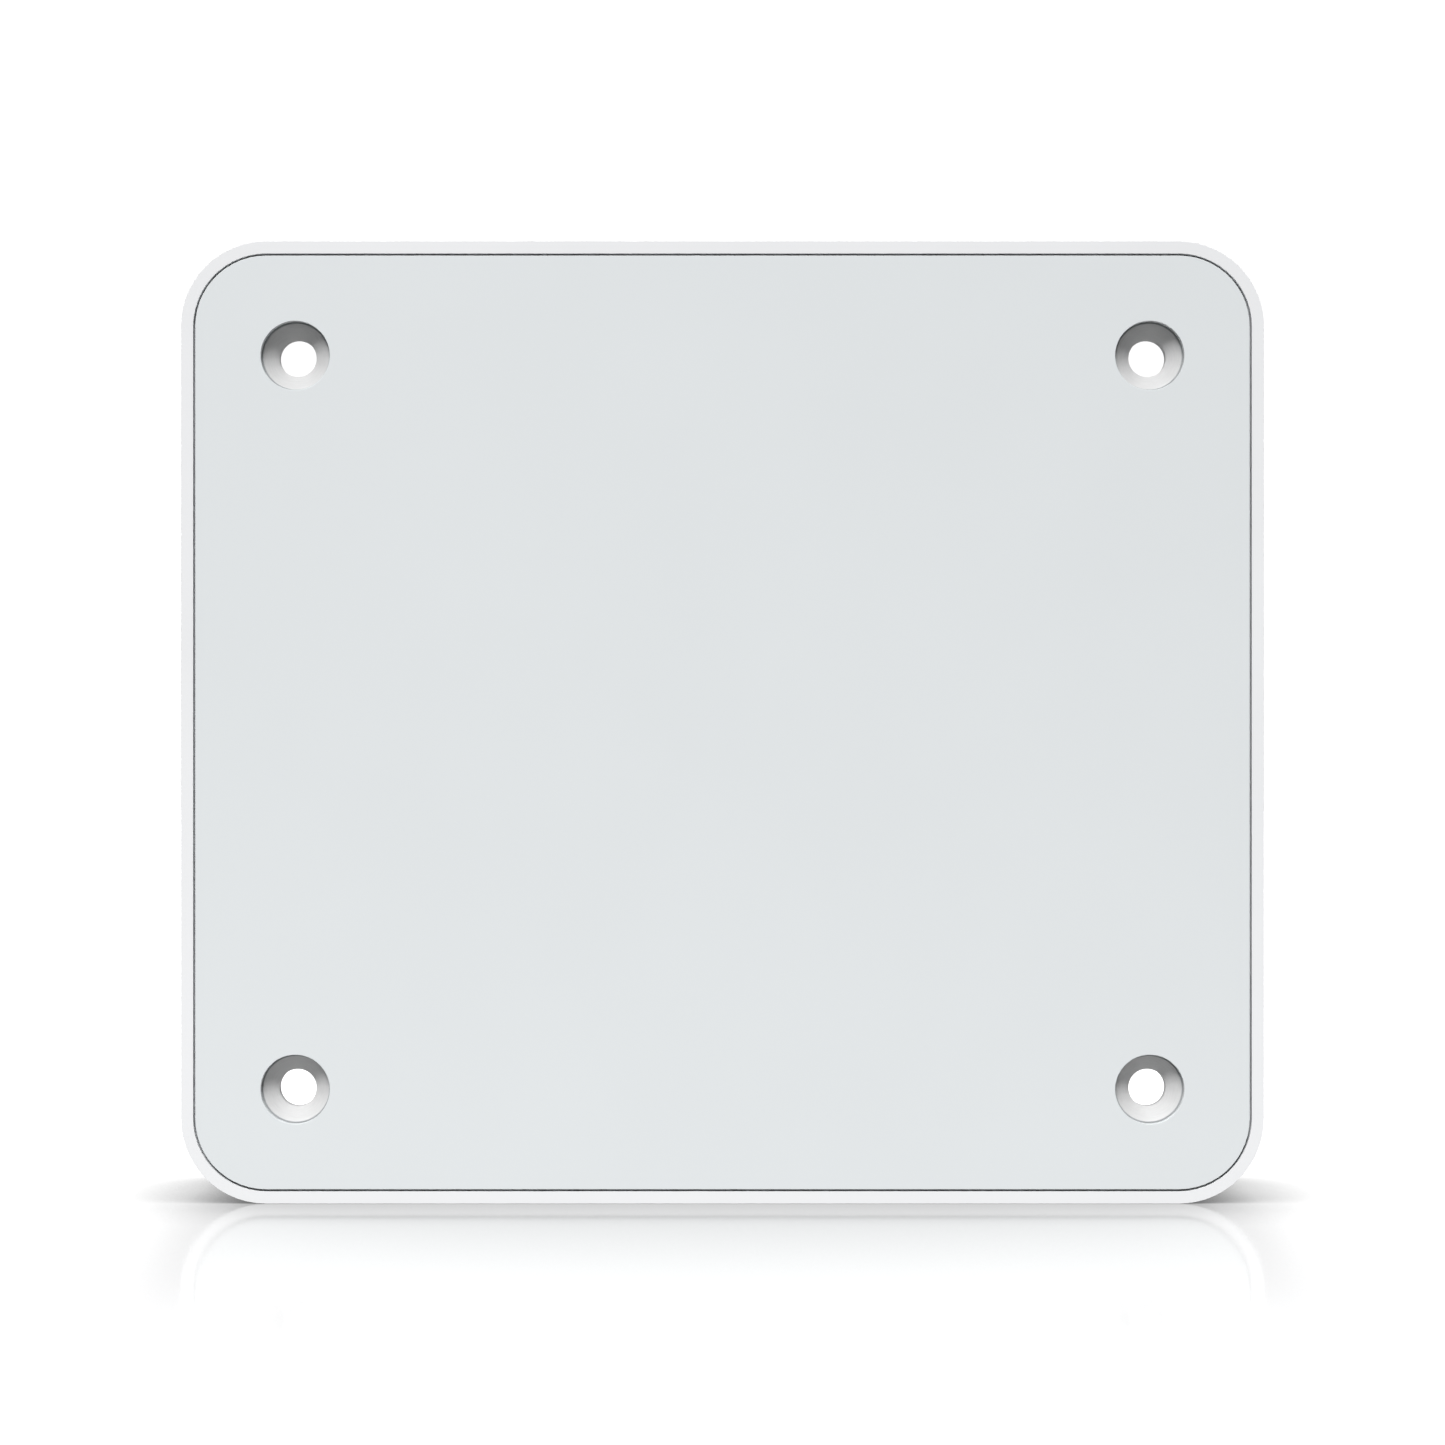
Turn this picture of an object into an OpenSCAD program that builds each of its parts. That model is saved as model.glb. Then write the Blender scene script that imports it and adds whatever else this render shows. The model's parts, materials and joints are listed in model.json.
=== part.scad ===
// Ceiling access point: a shallow moulded case with an inlaid face panel, screwed to a ceiling or wall
// through four countersunk holes that lead into wide open sleeves. A metal cover closes the back and
// carries the circuit board, and a tub let into it makes the port bay for the network plug.
// Millimetres. X is the width and Z the height; the case hangs on its mounting face at Y = 0 and looks
// towards -Y. Depths ("_d" values, and d0 to d1 in the modules) count forwards from the mounting face.

/* [Case] */
// Width of the case
case_w = 130; // [126:1:140]
// Height of the case
case_h = 115.5; // [113:0.5:122]
// Depth of the case from the mounting face to the front
case_depth = 30; // [29.5:0.5:33]
// Radius of the case's four corners
corner_r = 10.2; // [9:0.1:12]
// Thickness of the side walls
side_wall = 2; // [1.8:0.1:2.2]
// Thickness of the front wall
front_wall = 2; // [1.9:0.1:2.2]

/* [Face panel] */
// Width of the rim that frames the face panel
rim_w = 1.45; // [1.2:0.05:1.7]
// Hairline gap between the rim and the panel
panel_gap = 0.25; // [0.15:0.05:0.4]
// Thickness of the face panel
panel_t = 1; // [0.8:0.1:1.2]
// Thickness of the adhesive film behind the panel
film_t = 0.15; // [0.1:0.05:0.2]
// Diameter of the panel's four clearance holes
panel_hole = 8.3; // [8.2:0.1:9]

/* [Mounting screws] */
// Distance between the mounting holes along X
hole_dx = 102.6; // [102:0.1:103]
// Distance between the mounting holes along Z
hole_dz = 88.1; // [87.5:0.1:88.5]
// Diameter of the mounting holes
hole_dia = 4.5; // [4.3:0.1:4.8]
// Diameter of the countersinks at their mouth
sink_dia = 7.9; // [7.6:0.1:8]
// Inside diameter of the open sleeves behind the mounting holes
sleeve_bore = 16; // [15:0.5:16]
// Wall thickness of the sleeves
sleeve_wall = 1.4; // [1.2:0.1:1.5]

/* [Port bay] */
// Width of the port bay
bay_w = 40; // [38:1:42]
// Length of the port bay along Z
bay_len = 36; // [32:1:36]
// Depth of the port bay
bay_deep = 15; // [14.8:0.1:15.2]

/* [Reset button] */
// Diameter of the reset button
button_dia = 3.2; // [3:0.1:3.4]
// Travel of the reset button
button_travel = 0.5; // [0.3:0.1:0.5]

/* [Hidden] */
$fn = 64;

white = [0.94, 0.94, 0.95];
panel_grey = [0.87, 0.89, 0.90];
steel = [0.75, 0.76, 0.78];
cast_metal = [0.70, 0.71, 0.72];
board_green = [0.10, 0.33, 0.20];
chip_black = [0.12, 0.12, 0.13];
gold = [0.85, 0.68, 0.32];
pad_blue = [0.45, 0.60, 0.78];

// Front wall and face panel
seat_d = case_depth - panel_t - film_t;
inner_d = seat_d - front_wall;
panel_w = case_w - 2 * (rim_w + panel_gap);
panel_h = case_h - 2 * (rim_w + panel_gap);
panel_r = corner_r - rim_w - panel_gap;
sleeve_r = sleeve_bore / 2 + sleeve_wall;
sink_deep = (sink_dia - hole_dia) / 2;
collar_t = 1.2;
collar_h = 1.2;
fit_gap = 0.1;
film_inset = 1;

// Rear cover
cover_t = 2;
cover_gap = 0.2;
cover_w = case_w - 2 * (side_wall + cover_gap);
cover_h = case_h - 2 * (side_wall + cover_gap);
cover_r = corner_r - side_wall - cover_gap;
boss_x = 36;
boss_z = case_h / 2 - 7.75;
boss_r = 3.2;
boss_bore_end = 14;
screw_r = 1.25;
screw_clear = 0.05;
screw_len = 12;
drive_w = 2.2;
drive_slot = 0.5;
bay_wall = 1.5;
bay_roof = 1.2;
bay_top = -14;
bay_mid = bay_top - bay_len / 2;
flange_w = 3;
flange_t = 0.8;
groove_w = 1.6;
groove_deep = 0.8;
groove_pitch = 4.2;
groove_z = 12;
long_groove = 96;
short_groove = 60;
long_grooves = 4;
grooves = 9;
label_w = 24;
label_h = 40;
label_x = -37;
label_z = -11;
label_t = 0.12;
label_recess = 0.2;

// Board and what it carries
board_t = 1.6;
board_d = 16.5;
board_w = 116;
board_h = 91;
board_front_d = board_d + board_t;
sleeve_clear = sleeve_r + 1.9;
post_x = 53;
post_z = 27;
post_r = 3.5;
post_bore = 8;
spigot_r = 2.1;
board_hole_r = 1.6;
standoff_h = 3;
standoff_r = 3.2;
stud_len = 6;
plate_t = 1;
plate_d = board_front_d + standoff_h;
plate_w = 114;
plate_h = 90;
shield_h = 3;
shield_t = 0.2;
pad_t = 1;
pad_d = board_d - shield_h - shield_t - pad_t;

// Centre and size of each shield, as [x, z, width, height]
cpu_shield = [-36.5, -2, 26, 32];
radio_shield = [20, 30, 30, 22];

// Parts of the power supply, on the right-hand side of the board
power_x = 30;
power_z = 4;
coil_z = -10;
coil_w = 7;
coil_h = 4;
can_x = 47;
can_z = 9;
can_r = 4;
can_h = 11;
power_pitch = 10;

// Network jack, with its mouth flush with the bay's top wall
jack_w = 16;
jack_x = -8;
jack_back_d = 3;
jack_len = 21;
jack_t = 0.3;
jack_clear = 0.25;
plug_w = 11.9;
wire_w = 0.36;
wire_pitch = 1.02;
wire_floor_d = 15.2;

// Reset switch and lamp
button_x = 8;
button_d = 12.5;
button_clear = 0.12;
button_flange_r = 2.4;
stem_r = 0.9;
switch_z = bay_top + 6.2;
switch_w = 6;
switch_h = 3.6;
switch_floor = switch_z - 0.2;
lamp_x = 14;
lamp_z = bay_top + 7.4;
pipe_r = 1.2;

// Antennas
antenna_len = 24;
antenna_w = 7;
antenna_h = 3.9;
antenna_t = 0.4;
lead_r = 0.57;
lead_sides = 8;
side_antenna = [50.3, -4];
top_antenna = [22, 39.1];
socket_x = [28, 12];
socket_z = 33;
socket_w = 2.6;
plug_d = board_front_d + 0.7;
lead_d = plug_d + 0.6;

// ---- Shared shapes ----

// Extrudes an outline drawn in X and Z from depth d0 to depth d1.
module slab(d0, d1) {
  translate([0, -d0, 0]) rotate([90, 0, 0]) linear_extrude(d1 - d0) children();
}

module rounded_rect(w, h, r) {
  square([w - 2 * r, h], center = true);
  square([w, h - 2 * r], center = true);
  for (x = [-1, 1], z = [-1, 1]) translate([x * (w / 2 - r), z * (h / 2 - r)]) circle(r);
}

// A block centred at x, z.
module block(x, z, w, h, d0, d1) {
  translate([x - w / 2, -d1, z - h / 2]) cube([w, d1 - d0, h]);
}

// A round post that points forwards.
module post(x, z, r, d0, d1) {
  translate([x, -d0, z]) rotate([90, 0, 0]) cylinder(h = d1 - d0, r = r);
}

// A cone that points forwards, with radius r0 at depth d0 and r1 at depth d1.
module cone(x, z, r0, r1, d0, d1) {
  translate([x, -d0, z]) rotate([90, 0, 0]) cylinder(h = d1 - d0, r1 = r0, r2 = r1);
}

// A round rod along Z from z0 to z1.
module rod(x, d, r, z0, z1) {
  translate([x, -d, z0]) cylinder(h = z1 - z0, r = r);
}

module at_holes() {
  for (x = [-1, 1], z = [-1, 1]) translate([x * hole_dx / 2, 0, z * hole_dz / 2]) children();
}

module at_bosses() {
  for (x = [-1, 1], z = [-1, 1]) translate([x * boss_x, 0, z * boss_z]) children();
}

module at_posts() {
  for (x = [-1, 1], z = [-1, 1]) translate([x * post_x, 0, z * post_z]) children();
}

// An outline that leaves room for the four sleeves.
module cross_outline(w, h) {
  difference() {
    rounded_rect(w, h, 2);
    for (x = [-1, 1], z = [-1, 1]) translate([x * hole_dx / 2, z * hole_dz / 2]) {
      circle(sleeve_clear);
      translate([x * sleeve_clear / 2, 0]) square([sleeve_clear, 2 * sleeve_clear], center = true);
      translate([0, z * sleeve_clear / 2]) square([2 * sleeve_clear, sleeve_clear], center = true);
    }
  }
}

// ---- Case ----

module front_shell() {
  color(white) difference() {
    union() {
      difference() {
        slab(0, case_depth) rounded_rect(case_w, case_h, corner_r);
        slab(-1, inner_d)
          rounded_rect(case_w - 2 * side_wall, case_h - 2 * side_wall, corner_r - side_wall);
      }
      at_holes() collar();
      at_bosses() post(0, 0, boss_r, cover_t, inner_d + 0.1);
    }
    slab(seat_d, case_depth + 1)
      rounded_rect(case_w - 2 * rim_w, case_h - 2 * rim_w, corner_r - rim_w);
    at_holes() {
      post(0, 0, hole_dia / 2, inner_d - collar_h - 1, case_depth);
      cone(0, 0, hole_dia / 2, sink_dia / 2, seat_d - sink_deep, seat_d);
    }
    at_bosses() post(0, 0, screw_r + screw_clear, cover_t - 1, boss_bore_end);
  }
}

// A low ring inside the front wall and a boss within it, which locate a sleeve between them. The boss
// also thickens the wall under the screw's head.
module collar() {
  difference() {
    post(0, 0, sleeve_r + fit_gap + collar_t, inner_d - collar_h, inner_d + 0.1);
    post(0, 0, sleeve_r + fit_gap, inner_d - collar_h - 1, inner_d);
  }
  post(0, 0, sleeve_bore / 2 - fit_gap, inner_d - collar_h, inner_d + 0.1);
}

// Sleeves 1 and 2 are the lower ones, 3 and 4 the upper ones; odd numbers are on the left.
module screw_sleeve(i) {
  color(white) translate([side(i) * hole_dx / 2, 0, (i > 2 ? 1 : -1) * hole_dz / 2]) difference() {
    post(0, 0, sleeve_r, 0, inner_d);
    post(0, 0, sleeve_bore / 2, -1, inner_d + 1);
  }
}

module face_panel() {
  color(panel_grey) difference() {
    slab(case_depth - panel_t, case_depth) rounded_rect(panel_w, panel_h, panel_r);
    at_holes() post(0, 0, panel_hole / 2, seat_d, case_depth + 1);
  }
}

module panel_film() {
  cut = 2 * film_inset;
  color("lightyellow") difference() {
    slab(seat_d, seat_d + film_t) rounded_rect(panel_w - cut, panel_h - cut, panel_r - film_inset);
    at_holes() post(0, 0, panel_hole / 2 + film_inset, seat_d - 1, case_depth);
  }
}

module rear_cover() {
  color(cast_metal) difference() {
    slab(0, cover_t) rounded_rect(cover_w, cover_h, cover_r);
    bay_block(fit_gap, -1, cover_t + 1);
    at_holes() post(0, 0, sleeve_r + 0.3, -1, cover_t + 1);
    at_bosses() {
      post(0, 0, 1.7, -1, cover_t + 1);
      cone(0, 0, 3, 1.7, 0, 1.3);
    }
    at_posts() post(0, 0, spigot_r + screw_clear, -1, cover_t + 1);
    cooling_grooves();
    slab(-1, label_recess) translate([label_x, label_z])
      rounded_rect(label_w + 0.6, label_h + 0.6, 1.5);
  }
}

// Shallow grooves across the upper half of the cover's back.
module cooling_grooves() {
  for (i = [0 : grooves - 1])
    slab(-1, groove_deep) translate([0, groove_z + i * groove_pitch])
      rounded_rect(i < long_grooves ? long_groove : short_groove, groove_w, groove_w / 2 - 0.01);
}

module cover_screws() {
  color(steel) at_bosses() difference() {
    union() {
      cone(0, 0, 2.75, screw_r, 0.1, 1.6);
      post(0, 0, screw_r, 1.5, screw_len);
    }
    cross_drive(0.1, 1.1);
  }
}

// A cross recess in a screw head, between two depths.
module cross_drive(d0, d1) {
  for (turn = [0, 90]) rotate([0, turn, 0]) block(0, 0, drive_w, drive_slot, d0 - 0.1, d1);
}

module rating_label() {
  color("whitesmoke") slab(label_recess - label_t, label_recess) translate([label_x, label_z])
    rounded_rect(label_w, label_h, 1.2);
}

// Turned posts pressed through the cover, which the board's standoffs screw into.
module board_posts() {
  color(steel) at_posts() difference() {
    union() {
      post(0, 0, spigot_r, 0.1, cover_t + 0.1);
      post(0, 0, post_r, cover_t, board_d);
    }
    post(0, 0, screw_r + screw_clear, post_bore, board_d + 1);
  }
}

// ---- Port bay ----

// The bay's outer block, grown by gap on its four sides.
module bay_block(gap, d0, d1) {
  grow = 2 * (bay_wall + gap);
  block(0, bay_mid, bay_w + grow, bay_len + grow, d0, d1);
}

// Moulded tub let into the cover, with a flange behind the cover's edge.
module bay_tub() {
  color(chip_black) difference() {
    union() {
      bay_block(0, 0.2, bay_deep + bay_roof);
      bay_block(flange_w, cover_t, cover_t + flange_t);
    }
    block(0, bay_mid, bay_w, bay_len, -1, bay_deep);
    jack_window();
    rod(button_x, button_d, button_dia / 2 + button_clear, bay_top - 1, bay_top + bay_wall + 1);
    rod(lamp_x, button_d, pipe_r + fit_gap, bay_top - 1, bay_top + bay_wall + 1);
  }
}

// The jack's mouth fills this window in the bay's top wall.
module jack_window() {
  block(jack_x, bay_top + bay_wall / 2, jack_w + 2 * jack_clear, bay_wall + 0.2,
        jack_back_d - jack_clear, bay_deep + bay_roof + 1);
}

// Jack body, seen as a block that reaches from the bay's top wall up to the board's far end.
module jack_block(inset, z0, z1) {
  block(jack_x, (z0 + z1) / 2, jack_w - 2 * inset, z1 - z0, jack_back_d + inset, board_d - inset);
}

module jack_shield() {
  color(steel) difference() {
    jack_block(0, bay_top, bay_top + jack_len);
    jack_block(jack_t, bay_top - 1, bay_top + jack_len - jack_t);
  }
}

module jack_insert() {
  inset = jack_t + 0.05;
  color(chip_black) difference() {
    jack_block(inset, bay_top + 0.2, bay_top + jack_len - inset);
    plug_cavity();
  }
}

// The plug's own space, with the stepped latch slot on the mounting side, and the contacts' channel.
module plug_cavity() {
  mouth = bay_top - 1;
  block(jack_x, mouth + 7.5, plug_w, 15, 7.2, 14.0);
  block(jack_x, mouth + 7.5, 6.4, 15, 5.7, 7.3);
  block(jack_x, mouth + 7.5, 4.0, 15, 4.6, 5.8);
  block(jack_x, mouth + 8.1, 9, 16.2, 13.9, wire_floor_d);
}

// Eight sprung wires that leave the channel's floor near the mouth and rise into the cavity.
module jack_contacts() {
  bend_z = bay_top + 1.6;
  sprung = 9.2;
  tilt = 72;
  color(gold) for (i = [0 : 7]) translate([jack_x + (i - 3.5) * wire_pitch, 0, 0]) {
    block(0, bend_z - 0.2, wire_w, 1, wire_floor_d - wire_w, wire_floor_d);
    translate([-wire_w / 2, wire_w - wire_floor_d, bend_z])
      rotate([tilt, 0, 0]) cube([wire_w, sprung, wire_w]);
  }
}

module reset_switch() {
  color(chip_black) difference() {
    union() {
      block(button_x, switch_z, switch_w, switch_h, button_d - switch_w / 2, button_d + switch_w / 2);
      for (x = [-1, 1])
        block(button_x + x * 2.4, switch_z, 0.8, 1.2, button_d + switch_w / 2 - 0.1, board_d);
    }
    rod(button_x, button_d, stem_r + 0.3, bay_top, switch_floor);
  }
}

// Key with a retaining flange inside the bay wall and a stem that reaches into the switch.
module reset_button() {
  flange_z = bay_top + bay_wall + 0.3;
  color("dimgray") {
    rod(button_x, button_d, button_dia / 2, bay_top - 0.6, flange_z + 0.5);
    rod(button_x, button_d, button_flange_r, flange_z, flange_z + 0.8);
    rod(button_x, button_d, stem_r, flange_z + 0.7, switch_floor - button_travel - 0.4);
  }
}

module status_led() {
  color("honeydew") block(lamp_x, lamp_z, 1.8, 1.4, board_d - 0.7, board_d);
}

// Clear elbow that carries the lamp's light round to the bay.
module light_pipe() {
  outer_d = button_d - pipe_r;
  end_d = board_d - 0.9;
  top_z = lamp_z + pipe_r;
  slant = 1.4;
  color("lightcyan") {
    rod(lamp_x, button_d, pipe_r, bay_top - 0.3, lamp_z - 1);
    translate([lamp_x - pipe_r, 0, 0]) rotate([90, 0, 90]) linear_extrude(2 * pipe_r) polygon([
      [-outer_d, lamp_z - pipe_r],
      [-outer_d, top_z - slant],
      [-outer_d - slant, top_z],
      [-end_d, top_z],
      [-end_d, lamp_z - pipe_r]
    ]);
  }
}

// ---- Circuit board ----

module main_board() {
  color(board_green) difference() {
    slab(board_d, board_front_d) cross_outline(board_w, board_h);
    at_posts() post(0, 0, board_hole_r, board_d - 1, board_front_d + 1);
  }
}

// Brass hexagonal standoffs, screwed through the board into the cover's posts.
module board_standoffs() {
  color(gold) at_posts() difference() {
    union() {
      translate([0, -board_front_d, 0]) rotate([90, 0, 0])
        cylinder(h = standoff_h, r = standoff_r, $fn = 6);
      post(0, 0, screw_r, board_d - stud_len, board_front_d + 0.1);
    }
    post(0, 0, screw_r + screw_clear, board_front_d + 1.1, plate_d + 1);
  }
}

// A chip that hangs from the board's rear side.
module chip(x, z, w, h, t) {
  color(chip_black) block(x, z, w, h, board_d - t, board_d);
}

module memory_chip(i) {
  chip(cpu_shield[0] + (i == 1 ? -5.5 : 5.5), cpu_shield[1] + 8, 9, 12, 1.1);
}

// Places a piece of shield 1 or 2 (the radios) or 3 (the processor), and gives it that shield's size.
module on_shield(i) {
  place = i == 3 ? cpu_shield : [side(i) * radio_shield[0], radio_shield[1]];
  $lid_w = i == 3 ? cpu_shield[2] : radio_shield[2];
  $lid_h = i == 3 ? cpu_shield[3] : radio_shield[3];
  translate([place[0], 0, place[1]]) children();
}

// A plain block over the shield, smaller than its lid by inset in all.
module on_lid(inset, d0, d1) {
  block(0, 0, $lid_w - inset, $lid_h - inset, d0, d1);
}

// A fence on the board around a shielded group of chips, with a turned-in top edge.
module shield_frame() {
  color(steel) difference() {
    on_lid(0.8, board_d - shield_h + 0.3, board_d);
    on_lid(1.2, board_d - shield_h + 0.5, board_d + 1);
    on_lid(5, 0, board_d + 1);
  }
}

// A lid that caps the fence, with a row of grip slots along each long side.
module shield_lid() {
  top_d = board_d - shield_h - shield_t;
  color(steel) difference() {
    on_lid(0, top_d, board_d - 0.5);
    on_lid(2 * shield_t, top_d + shield_t, board_d);
    for (i = [-2 : 2])
      block(i * $lid_w / 6, 0, 1.4, $lid_h + 1, board_d - 1.5, board_d - 0.9);
  }
}

module thermal_pad() {
  color(pad_blue) on_lid(6, pad_d, pad_d + pad_t);
}

// Metal block that carries heat from a shield's pad to the cover.
module heat_block() {
  color(cast_metal) on_lid(5, cover_t, pad_d);
}

module lan_transformer() {
  color(chip_black) block(jack_x, bay_top + jack_len + 5.5, 15.1, 7, board_d - 5.5, board_d);
}

// Ferrite power transformer: two core halves around a bobbin.
module poe_transformer() {
  color([0.25, 0.25, 0.26]) union() {
    block(power_x, power_z, 15, 6, board_d - 11.5, board_d - 1);
    block(power_x, power_z, 8, 13, board_d - 9.5, board_d - 2.5);
    block(power_x, power_z, 14, 13, board_d - 1.1, board_d);
  }
}

module bulk_capacitor(i) {
  color("midnightblue") post(can_x, can_z - (i - 1) * power_pitch, can_r, board_d - can_h, board_d);
}

module power_inductor(i) {
  color(chip_black)
    block(power_x, coil_z - (i - 1) * power_pitch, coil_w, coil_w, board_d - coil_h, board_d);
}

// ---- Antennas ----

// Sign of the side that lead, plug, socket and antenna number i sit on.
function side(i) = i % 2 == 1 ? -1 : 1;
function lead_x(i) = side(i) * socket_x[i > 2 ? 0 : 1];

module coax_socket(i) {
  color(gold) {
    block(lead_x(i), socket_z, socket_w, socket_w, board_front_d, board_front_d + 0.35);
    post(lead_x(i), socket_z, 1, board_front_d + 0.3, plug_d);
  }
}

// A lead's snap-on plug, with a crimp barrel that points down the board.
module coax_plug(x) {
  post(x, socket_z, 1.5, plug_d, plug_d + 1.1);
  rod(x, lead_d, 0.8, socket_z - 3.4, socket_z - 1);
}

// Points that each lead passes, as [x, depth, z] on the right-hand side: first the short leads to the
// upper antennas, then the long ones to the antennas at the sides.
SHORT_LEAD = [[12, 19.4, 29.6], [12, 19.4, 27], [14, 19.5, 24], [18, 19.6, 24], [21, 19.8, 27],
              [22, 20.6, 31], [22, 22.6, 33.4], [22, 23.2, 35.3]];
LONG_LEAD = [[28, 19.4, 29.6], [28, 19.4, 26], [30, 19.5, 20], [36, 19.6, 14], [40, 19.8, 6],
             [43, 20.3, 0], [44.6, 21.8, -2.6], [46.5, 23.4, -4]];

// A smooth curve through a list of points: steps points in each stretch, then the last point.
function curve(p, steps) = [
  for (i = [0 : len(p) - 2], s = [0 : steps - 1])
    let (a = p[max(i - 1, 0)], b = p[i], c = p[i + 1], e = p[min(i + 2, len(p) - 1)], t = s / steps)
    0.5 * (2 * b + (c - a) * t + (2 * a - 5 * b + 4 * c - e) * t * t + (3 * b - a - 3 * c + e) * t * t * t),
  p[len(p) - 1]
];
function unit(v) = v / norm(v);
function heading(p, i) = unit(p[min(i + 1, len(p) - 1)] - p[max(i - 1, 0)]);
// A sideways direction for each point, carried along the curve without twisting.
function carried(p, i, n) = let (t = heading(p, i)) unit(n - (n * t) * t);
function sideways(p, i = 0, n = [0, 1, 0.01], out = []) =
  i == len(p) ? out : sideways(p, i + 1, carried(p, i, n), concat(out, [carried(p, i, n)]));

// A round tube of radius r along a list of points.
module tube(p, r) {
  sides = sideways(p);
  rings = [
    for (i = [0 : len(p) - 1])
      let (u = sides[i], v = cross(heading(p, i), u))
      for (k = [0 : lead_sides - 1])
        p[i] + r * (cos(360 * k / lead_sides) * u + sin(360 * k / lead_sides) * v)
  ];
  last = (len(p) - 1) * lead_sides;
  polyhedron(rings, concat(
    [[for (k = [0 : lead_sides - 1]) k]],
    [for (i = [0 : len(p) - 2], k = [0 : lead_sides - 1])
      let (n = (k + 1) % lead_sides, a = i * lead_sides)
      [a + k, a + lead_sides + k, a + lead_sides + n, a + n]],
    [[for (k = [lead_sides - 1 : -1 : 0]) last + k]]
  ));
}

module coax_lead(i) {
  route = i > 2 ? LONG_LEAD : SHORT_LEAD;
  color(steel) coax_plug(lead_x(i));
  color("slategray") tube(curve([for (p = route) [side(i) * p[0], -p[1], p[2]]], 5), lead_r);
}

// Ground plate that carries the antennas over the board, with a hole under each feed.
module antenna_plate() {
  color(steel) difference() {
    slab(plate_d, plate_d + plate_t) cross_outline(plate_w, plate_h);
    at_posts() post(0, 0, board_hole_r, plate_d - 1, plate_d + plate_t + 1);
    for (x = [-1, 1]) {
      block(x * top_antenna[0], 32.4, 3, 4.6, plate_d - 1, plate_d + plate_t + 1);
      block(x * 44.8, -2.1, 5.2, 6.2, plate_d - 1, plate_d + plate_t + 1);
    }
    slab(plate_d - 1, plate_d + plate_t + 1) rounded_rect(46, 26, 3);
  }
}

module plate_screws() {
  head_d = plate_d + plate_t;
  color(steel) at_posts() difference() {
    union() {
      post(0, 0, 2.6, head_d, head_d + 1.8);
      post(0, 0, screw_r, head_d - 2.6, head_d + 0.1);
    }
    cross_drive(head_d + 0.9, head_d + 2);
  }
}

// Bent sheet radiator: a foot on the plate, a short leg, a slotted top and a feed tab.
module antenna_sheet() {
  base_d = plate_d + plate_t;
  top_d = base_d + antenna_h;
  half = antenna_len / 2;
  difference() {
    union() {
      block(-half - 2.2, 0, 4.8, antenna_w, base_d, base_d + antenna_t);
      block(-half, 0, antenna_t, antenna_w, base_d, top_d);
      block(0, 0, antenna_len, antenna_w, top_d - antenna_t, top_d);
      block(0, -antenna_w / 2 + antenna_t / 2, 3, antenna_t, base_d + 0.6, top_d);
    }
    block(3, 0.8, antenna_len - 8, 1.2, top_d - 1, top_d + 1);
    post(-half - 3, 0, 0.9, base_d - 1, base_d + 1);
  }
}

module antenna(i) {
  s = side(i);
  color(gold) mirror([s < 0 ? 1 : 0, 0, 0])
    if (i > 2) translate([side_antenna[0], 0, side_antenna[1]]) rotate([0, 90, 0]) antenna_sheet();
    else translate([top_antenna[0], 0, top_antenna[1]]) antenna_sheet();
}

// ---- Assembly ----

front_shell();
face_panel();
panel_film();
rear_cover();
cover_screws();
rating_label();
bay_tub();
jack_shield();
jack_insert();
jack_contacts();
reset_switch();
reset_button();
status_led();
light_pipe();
main_board();
board_posts();
board_standoffs();
chip(cpu_shield[0], cpu_shield[1] - 7, 15, 15, 1.5);  // processor
chip(cpu_shield[0], -27, 8, 6, 1);  // flash_chip
lan_transformer();
poe_transformer();
antenna_plate();
plate_screws();
for (i = [1 : 2]) {
  memory_chip(i);
  power_inductor(i);
  chip(side(i) * radio_shield[0], radio_shield[1], 12, 12, 0.9);
  on_shield(i) shield_frame();
  on_shield(i) shield_lid();
}
on_shield(3) shield_frame();  // processor_shield_frame
on_shield(3) shield_lid();  // processor_shield_lid
for (i = [1 : 3]) {
  bulk_capacitor(i);
  on_shield(i) thermal_pad();
  on_shield(i) heat_block();
}
for (i = [1 : 4]) {
  screw_sleeve(i);
  coax_socket(i);
  coax_lead(i);
  antenna(i);
}
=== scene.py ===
"""Ceiling access point: materials, fine detail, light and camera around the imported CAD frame.

Metres throughout. +X right, +Z up, the face panel looks towards -Y and the mounting face is at Y = 0.
"""

import json
import math
import random

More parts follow.
